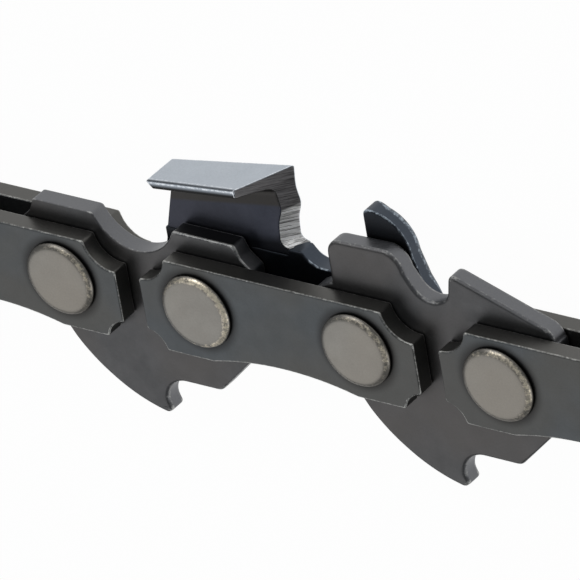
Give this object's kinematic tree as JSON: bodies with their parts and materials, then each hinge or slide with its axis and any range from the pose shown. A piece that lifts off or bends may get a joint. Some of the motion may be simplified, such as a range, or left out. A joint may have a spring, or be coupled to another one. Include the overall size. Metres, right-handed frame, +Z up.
{
  "type": "chainsaw chain loop",
  "caption": "Closed low-profile chainsaw chain lying on its side: alternating left and right cutters, tie straps, and standard and bumper drive links on rivets.",
  "frame": {"origin": "centre of the loop, on the surface that the chain lies on", "axes": "+X along the straight runs, the way the run at +Y travels; +Y across the loop; +Z up, along the rivets"},
  "size_m": [0.2344, 0.0874, 0.0047],
  "materials": {
    "drive_steel": "dark oxide steel, satin",
    "strap_steel": "dark blue-grey oxide steel, satin",
    "cutter_steel": "blued steel with a grey plated top plate and a ground hook",
    "rivet_steel": "bare warm grey steel, peened heads"
  },
  "bodies": {
    "cutter_link_01": {"left_cutter_01": "cutter_steel", "tie_strap_01": "strap_steel", "rivet_pair_01": "rivet_steel"},
    "bumper_drive_link_01": {"bumper_drive_link_01": "drive_steel"},
    "tie_link_02": {"tie_link_02": "strap_steel"},
    "drive_link_02": {"drive_link_02": "drive_steel"},
    "right_cutter_link_03": {"right_cutter_link_03": "cutter_steel"},
    "bumper_drive_link_03": {"bumper_drive_link_03": "drive_steel"},
    "tie_link_04": {"tie_link_04": "strap_steel"},
    "drive_link_04": {"drive_link_04": "drive_steel"},
    "left_cutter_link_05": {"left_cutter_link_05": "cutter_steel"},
    "bumper_drive_link_05": {"bumper_drive_link_05": "drive_steel"},
    "tie_link_06": {"tie_link_06": "strap_steel"},
    "drive_link_06": {"drive_link_06": "drive_steel"},
    "right_cutter_link_07": {"right_cutter_link_07": "cutter_steel"},
    "bumper_drive_link_07": {"bumper_drive_link_07": "drive_steel"},
    "tie_link_08": {"tie_link_08": "strap_steel"},
    "drive_link_08": {"drive_link_08": "drive_steel"},
    "left_cutter_link_09": {"left_cutter_link_09": "cutter_steel"},
    "bumper_drive_link_09": {"bumper_drive_link_09": "drive_steel"},
    "tie_link_10": {"tie_link_10": "strap_steel"},
    "drive_link_10": {"drive_link_10": "drive_steel"},
    "right_cutter_link_11": {"right_cutter_link_11": "cutter_steel"},
    "bumper_drive_link_11": {"bumper_drive_link_11": "drive_steel"},
    "tie_link_12": {"tie_link_12": "strap_steel"},
    "drive_link_12": {"drive_link_12": "drive_steel"},
    "left_cutter_link_13": {"left_cutter_link_13": "cutter_steel"},
    "bumper_drive_link_13": {"bumper_drive_link_13": "drive_steel"},
    "tie_link_14": {"tie_link_14": "strap_steel"},
    "drive_link_14": {"drive_link_14": "drive_steel"},
    "right_cutter_link_15": {"right_cutter_link_15": "cutter_steel"},
    "bumper_drive_link_15": {"bumper_drive_link_15": "drive_steel"},
    "tie_link_16": {"tie_link_16": "strap_steel"},
    "drive_link_16": {"drive_link_16": "drive_steel"},
    "left_cutter_link_17": {"left_cutter_link_17": "cutter_steel"},
    "bumper_drive_link_17": {"bumper_drive_link_17": "drive_steel"},
    "tie_link_18": {"tie_link_18": "strap_steel"},
    "drive_link_18": {"drive_link_18": "drive_steel"},
    "right_cutter_link_19": {"right_cutter_link_19": "cutter_steel"},
    "bumper_drive_link_19": {"bumper_drive_link_19": "drive_steel"},
    "tie_link_20": {"tie_link_20": "strap_steel"},
    "drive_link_20": {"drive_link_20": "drive_steel"},
    "left_cutter_link_21": {"left_cutter_link_21": "cutter_steel"},
    "bumper_drive_link_21": {"bumper_drive_link_21": "drive_steel"},
    "tie_link_22": {"tie_link_22": "strap_steel"},
    "drive_link_22": {"drive_link_22": "drive_steel"},
    "right_cutter_link_23": {"right_cutter_link_23": "cutter_steel"},
    "bumper_drive_link_23": {"bumper_drive_link_23": "drive_steel"},
    "tie_link_24": {"tie_link_24": "strap_steel"},
    "drive_link_24": {"drive_link_24": "drive_steel"},
    "left_cutter_link_25": {"left_cutter_link_25": "cutter_steel"},
    "bumper_drive_link_25": {"bumper_drive_link_25": "drive_steel"},
    "tie_link_26": {"tie_link_26": "strap_steel"},
    "drive_link_26": {"drive_link_26": "drive_steel"},
    "right_cutter_link_27": {"right_cutter_link_27": "cutter_steel"},
    "bumper_drive_link_27": {"bumper_drive_link_27": "drive_steel"},
    "tie_link_28": {"tie_link_28": "strap_steel"},
    "drive_link_28": {"drive_link_28": "drive_steel"}
  },
  "joints": [
    {"name": "swing_01", "type": "hinge", "parent": "cutter_link_01", "child": "bumper_drive_link_01", "pos_m": [0.00509, 0.03613, 0.00234], "axis": [0, 0, 1], "range_deg": [-18, 18]},
    {"name": "pivot_02", "type": "hinge", "parent": "bumper_drive_link_01", "child": "tie_link_02", "pos_m": [0.01396, 0.03613, 0.00234], "axis": [0, 0, 1], "range_deg": [-18, 18]},
    {"name": "swing_02", "type": "hinge", "parent": "tie_link_02", "child": "drive_link_02", "pos_m": [0.02414, 0.03613, 0.00234], "axis": [0, 0, 1], "range_deg": [-18, 18]},
    {"name": "pivot_04", "type": "hinge", "parent": "drive_link_02", "child": "right_cutter_link_03", "pos_m": [0.03301, 0.03613, 0.00234], "axis": [0, 0, 1], "range_deg": [-18, 18]},
    {"name": "swing_03", "type": "hinge", "parent": "right_cutter_link_03", "child": "bumper_drive_link_03", "pos_m": [0.04319, 0.03613, 0.00234], "axis": [0, 0, 1], "range_deg": [-18, 18]},
    {"name": "pivot_06", "type": "hinge", "parent": "bumper_drive_link_03", "child": "tie_link_04", "pos_m": [0.05206, 0.03613, 0.00234], "axis": [0, 0, 1], "range_deg": [-18, 18]},
    {"name": "swing_04", "type": "hinge", "parent": "tie_link_04", "child": "drive_link_04", "pos_m": [0.06224, 0.03613, 0.00234], "axis": [0, 0, 1], "range_deg": [-18, 18]},
    {"name": "pivot_08", "type": "hinge", "parent": "drive_link_04", "child": "left_cutter_link_05", "pos_m": [0.07111, 0.03613, 0.00234], "axis": [0, 0, 1], "range_deg": [-18, 18]},
    {"name": "swing_05", "type": "hinge", "parent": "left_cutter_link_05", "child": "bumper_drive_link_05", "pos_m": [0.08129, 0.03613, 0.00234], "axis": [0, 0, 1], "range_deg": [-18, 18]},
    {"name": "pivot_10", "type": "hinge", "parent": "bumper_drive_link_05", "child": "tie_link_06", "pos_m": [0.08986, 0.03384, 0.00234], "axis": [0, 0, 1], "range_deg": [-18, 18]},
    {"name": "swing_06", "type": "hinge", "parent": "tie_link_06", "child": "drive_link_06", "pos_m": [0.09867, 0.02875, 0.00234], "axis": [0, 0, 1], "range_deg": [-18, 18]},
    {"name": "pivot_12", "type": "hinge", "parent": "drive_link_06", "child": "right_cutter_link_07", "pos_m": [0.10495, 0.02247, 0.00234], "axis": [0, 0, 1], "range_deg": [-18, 18]},
    {"name": "swing_07", "type": "hinge", "parent": "right_cutter_link_07", "child": "bumper_drive_link_07", "pos_m": [0.11004, 0.01366, 0.00234], "axis": [0, 0, 1], "range_deg": [-18, 18]},
    {"name": "pivot_14", "type": "hinge", "parent": "bumper_drive_link_07", "child": "tie_link_08", "pos_m": [0.11233, 0.00509, 0.00234], "axis": [0, 0, 1], "range_deg": [-18, 18]},
    {"name": "swing_08", "type": "hinge", "parent": "tie_link_08", "child": "drive_link_08", "pos_m": [0.11233, -0.00509, 0.00234], "axis": [0, 0, 1], "range_deg": [-18, 18]},
    {"name": "pivot_16", "type": "hinge", "parent": "drive_link_08", "child": "left_cutter_link_09", "pos_m": [0.11004, -0.01366, 0.00234], "axis": [0, 0, 1], "range_deg": [-18, 18]},
    {"name": "swing_09", "type": "hinge", "parent": "left_cutter_link_09", "child": "bumper_drive_link_09", "pos_m": [0.10495, -0.02247, 0.00234], "axis": [0, 0, 1], "range_deg": [-18, 18]},
    {"name": "pivot_18", "type": "hinge", "parent": "bumper_drive_link_09", "child": "tie_link_10", "pos_m": [0.09867, -0.02875, 0.00234], "axis": [0, 0, 1], "range_deg": [-18, 18]},
    {"name": "swing_10", "type": "hinge", "parent": "tie_link_10", "child": "drive_link_10", "pos_m": [0.08986, -0.03384, 0.00234], "axis": [0, 0, 1], "range_deg": [-18, 18]},
    {"name": "pivot_20", "type": "hinge", "parent": "drive_link_10", "child": "right_cutter_link_11", "pos_m": [0.08129, -0.03613, 0.00234], "axis": [0, 0, 1], "range_deg": [-18, 18]},
    {"name": "swing_11", "type": "hinge", "parent": "right_cutter_link_11", "child": "bumper_drive_link_11", "pos_m": [0.07111, -0.03613, 0.00234], "axis": [0, 0, 1], "range_deg": [-18, 18]},
    {"name": "pivot_22", "type": "hinge", "parent": "bumper_drive_link_11", "child": "tie_link_12", "pos_m": [0.06224, -0.03613, 0.00234], "axis": [0, 0, 1], "range_deg": [-18, 18]},
    {"name": "swing_12", "type": "hinge", "parent": "tie_link_12", "child": "drive_link_12", "pos_m": [0.05206, -0.03613, 0.00234], "axis": [0, 0, 1], "range_deg": [-18, 18]},
    {"name": "pivot_24", "type": "hinge", "parent": "drive_link_12", "child": "left_cutter_link_13", "pos_m": [0.04319, -0.03613, 0.00234], "axis": [0, 0, 1], "range_deg": [-18, 18]},
    {"name": "swing_13", "type": "hinge", "parent": "left_cutter_link_13", "child": "bumper_drive_link_13", "pos_m": [0.03301, -0.03613, 0.00234], "axis": [0, 0, 1], "range_deg": [-18, 18]},
    {"name": "pivot_26", "type": "hinge", "parent": "bumper_drive_link_13", "child": "tie_link_14", "pos_m": [0.02414, -0.03613, 0.00234], "axis": [0, 0, 1], "range_deg": [-18, 18]},
    {"name": "swing_14", "type": "hinge", "parent": "tie_link_14", "child": "drive_link_14", "pos_m": [0.01396, -0.03613, 0.00234], "axis": [0, 0, 1], "range_deg": [-18, 18]},
    {"name": "pivot_28", "type": "hinge", "parent": "drive_link_14", "child": "right_cutter_link_15", "pos_m": [0.00509, -0.03613, 0.00234], "axis": [0, 0, 1], "range_deg": [-18, 18]},
    {"name": "pivot_56", "type": "hinge", "parent": "cutter_link_01", "child": "drive_link_28", "pos_m": [-0.00509, 0.03613, 0.00234], "axis": [0, 0, 1], "range_deg": [-18, 18]},
    {"name": "pivot_55", "type": "hinge", "parent": "drive_link_28", "child": "tie_link_28", "pos_m": [-0.01396, 0.03613, 0.00234], "axis": [0, 0, 1], "range_deg": [-18, 18]},
    {"name": "pivot_54", "type": "hinge", "parent": "tie_link_28", "child": "bumper_drive_link_27", "pos_m": [-0.02414, 0.03613, 0.00234], "axis": [0, 0, 1], "range_deg": [-18, 18]},
    {"name": "pivot_53", "type": "hinge", "parent": "bumper_drive_link_27", "child": "right_cutter_link_27", "pos_m": [-0.03301, 0.03613, 0.00234], "axis": [0, 0, 1], "range_deg": [-18, 18]},
    {"name": "pivot_52", "type": "hinge", "parent": "right_cutter_link_27", "child": "drive_link_26", "pos_m": [-0.04319, 0.03613, 0.00234], "axis": [0, 0, 1], "range_deg": [-18, 18]},
    {"name": "pivot_51", "type": "hinge", "parent": "drive_link_26", "child": "tie_link_26", "pos_m": [-0.05206, 0.03613, 0.00234], "axis": [0, 0, 1], "range_deg": [-18, 18]},
    {"name": "pivot_50", "type": "hinge", "parent": "tie_link_26", "child": "bumper_drive_link_25", "pos_m": [-0.06224, 0.03613, 0.00234], "axis": [0, 0, 1], "range_deg": [-18, 18]},
    {"name": "pivot_49", "type": "hinge", "parent": "bumper_drive_link_25", "child": "left_cutter_link_25", "pos_m": [-0.07111, 0.03613, 0.00234], "axis": [0, 0, 1], "range_deg": [-18, 18]},
    {"name": "pivot_48", "type": "hinge", "parent": "left_cutter_link_25", "child": "drive_link_24", "pos_m": [-0.08129, 0.03613, 0.00234], "axis": [0, 0, 1], "range_deg": [-18, 18]},
    {"name": "pivot_47", "type": "hinge", "parent": "drive_link_24", "child": "tie_link_24", "pos_m": [-0.08986, 0.03384, 0.00234], "axis": [0, 0, 1], "range_deg": [-18, 18]},
    {"name": "pivot_46", "type": "hinge", "parent": "tie_link_24", "child": "bumper_drive_link_23", "pos_m": [-0.09867, 0.02875, 0.00234], "axis": [0, 0, 1], "range_deg": [-18, 18]},
    {"name": "pivot_45", "type": "hinge", "parent": "bumper_drive_link_23", "child": "right_cutter_link_23", "pos_m": [-0.10495, 0.02247, 0.00234], "axis": [0, 0, 1], "range_deg": [-18, 18]},
    {"name": "pivot_44", "type": "hinge", "parent": "right_cutter_link_23", "child": "drive_link_22", "pos_m": [-0.11004, 0.01366, 0.00234], "axis": [0, 0, 1], "range_deg": [-18, 18]},
    {"name": "pivot_43", "type": "hinge", "parent": "drive_link_22", "child": "tie_link_22", "pos_m": [-0.11233, 0.00509, 0.00234], "axis": [0, 0, 1], "range_deg": [-18, 18]},
    {"name": "pivot_42", "type": "hinge", "parent": "tie_link_22", "child": "bumper_drive_link_21", "pos_m": [-0.11233, -0.00509, 0.00234], "axis": [0, 0, 1], "range_deg": [-18, 18]},
    {"name": "pivot_41", "type": "hinge", "parent": "bumper_drive_link_21", "child": "left_cutter_link_21", "pos_m": [-0.11004, -0.01366, 0.00234], "axis": [0, 0, 1], "range_deg": [-18, 18]},
    {"name": "pivot_40", "type": "hinge", "parent": "left_cutter_link_21", "child": "drive_link_20", "pos_m": [-0.10495, -0.02247, 0.00234], "axis": [0, 0, 1], "range_deg": [-18, 18]},
    {"name": "pivot_39", "type": "hinge", "parent": "drive_link_20", "child": "tie_link_20", "pos_m": [-0.09867, -0.02875, 0.00234], "axis": [0, 0, 1], "range_deg": [-18, 18]},
    {"name": "pivot_38", "type": "hinge", "parent": "tie_link_20", "child": "bumper_drive_link_19", "pos_m": [-0.08986, -0.03384, 0.00234], "axis": [0, 0, 1], "range_deg": [-18, 18]},
    {"name": "pivot_37", "type": "hinge", "parent": "bumper_drive_link_19", "child": "right_cutter_link_19", "pos_m": [-0.08129, -0.03613, 0.00234], "axis": [0, 0, 1], "range_deg": [-18, 18]},
    {"name": "pivot_36", "type": "hinge", "parent": "right_cutter_link_19", "child": "drive_link_18", "pos_m": [-0.07111, -0.03613, 0.00234], "axis": [0, 0, 1], "range_deg": [-18, 18]},
    {"name": "pivot_35", "type": "hinge", "parent": "drive_link_18", "child": "tie_link_18", "pos_m": [-0.06224, -0.03613, 0.00234], "axis": [0, 0, 1], "range_deg": [-18, 18]},
    {"name": "pivot_34", "type": "hinge", "parent": "tie_link_18", "child": "bumper_drive_link_17", "pos_m": [-0.05206, -0.03613, 0.00234], "axis": [0, 0, 1], "range_deg": [-18, 18]},
    {"name": "pivot_33", "type": "hinge", "parent": "bumper_drive_link_17", "child": "left_cutter_link_17", "pos_m": [-0.04319, -0.03613, 0.00234], "axis": [0, 0, 1], "range_deg": [-18, 18]},
    {"name": "pivot_32", "type": "hinge", "parent": "left_cutter_link_17", "child": "drive_link_16", "pos_m": [-0.03301, -0.03613, 0.00234], "axis": [0, 0, 1], "range_deg": [-18, 18]},
    {"name": "pivot_31", "type": "hinge", "parent": "drive_link_16", "child": "tie_link_16", "pos_m": [-0.02414, -0.03613, 0.00234], "axis": [0, 0, 1], "range_deg": [-18, 18]},
    {"name": "pivot_30", "type": "hinge", "parent": "tie_link_16", "child": "bumper_drive_link_15", "pos_m": [-0.01396, -0.03613, 0.00234], "axis": [0, 0, 1], "range_deg": [-18, 18]}
  ],
  "couplings": [
    {"joint": "pivot_02", "follows": "swing_01", "ratio": -1},
    {"joint": "pivot_04", "follows": "swing_02", "ratio": -1},
    {"joint": "pivot_06", "follows": "swing_03", "ratio": -1},
    {"joint": "pivot_08", "follows": "swing_04", "ratio": -1},
    {"joint": "pivot_10", "follows": "swing_05", "ratio": -1},
    {"joint": "pivot_12", "follows": "swing_06", "ratio": -1},
    {"joint": "pivot_14", "follows": "swing_07", "ratio": -1},
    {"joint": "pivot_16", "follows": "swing_08", "ratio": -1},
    {"joint": "pivot_18", "follows": "swing_09", "ratio": -1},
    {"joint": "pivot_20", "follows": "swing_10", "ratio": -1},
    {"joint": "pivot_22", "follows": "swing_11", "ratio": -1},
    {"joint": "pivot_24", "follows": "swing_12", "ratio": -1},
    {"joint": "pivot_26", "follows": "swing_13", "ratio": -1},
    {"joint": "pivot_28", "follows": "swing_14", "ratio": -1},
    {"joint": "pivot_56", "follows": "swing_14", "ratio": 1},
    {"joint": "pivot_55", "follows": "swing_14", "ratio": -1},
    {"joint": "pivot_54", "follows": "swing_13", "ratio": 1},
    {"joint": "pivot_53", "follows": "swing_13", "ratio": -1},
    {"joint": "pivot_52", "follows": "swing_12", "ratio": 1},
    {"joint": "pivot_51", "follows": "swing_12", "ratio": -1},
    {"joint": "pivot_50", "follows": "swing_11", "ratio": 1},
    {"joint": "pivot_49", "follows": "swing_11", "ratio": -1},
    {"joint": "pivot_48", "follows": "swing_10", "ratio": 1},
    {"joint": "pivot_47", "follows": "swing_10", "ratio": -1},
    {"joint": "pivot_46", "follows": "swing_09", "ratio": 1},
    {"joint": "pivot_45", "follows": "swing_09", "ratio": -1},
    {"joint": "pivot_44", "follows": "swing_08", "ratio": 1},
    {"joint": "pivot_43", "follows": "swing_08", "ratio": -1},
    {"joint": "pivot_42", "follows": "swing_07", "ratio": 1},
    {"joint": "pivot_41", "follows": "swing_07", "ratio": -1},
    {"joint": "pivot_40", "follows": "swing_06", "ratio": 1},
    {"joint": "pivot_39", "follows": "swing_06", "ratio": -1},
    {"joint": "pivot_38", "follows": "swing_05", "ratio": 1},
    {"joint": "pivot_37", "follows": "swing_05", "ratio": -1},
    {"joint": "pivot_36", "follows": "swing_04", "ratio": 1},
    {"joint": "pivot_35", "follows": "swing_04", "ratio": -1},
    {"joint": "pivot_34", "follows": "swing_03", "ratio": 1},
    {"joint": "pivot_33", "follows": "swing_03", "ratio": -1},
    {"joint": "pivot_32", "follows": "swing_02", "ratio": 1},
    {"joint": "pivot_31", "follows": "swing_02", "ratio": -1},
    {"joint": "pivot_30", "follows": "swing_01", "ratio": 1}
  ]
}
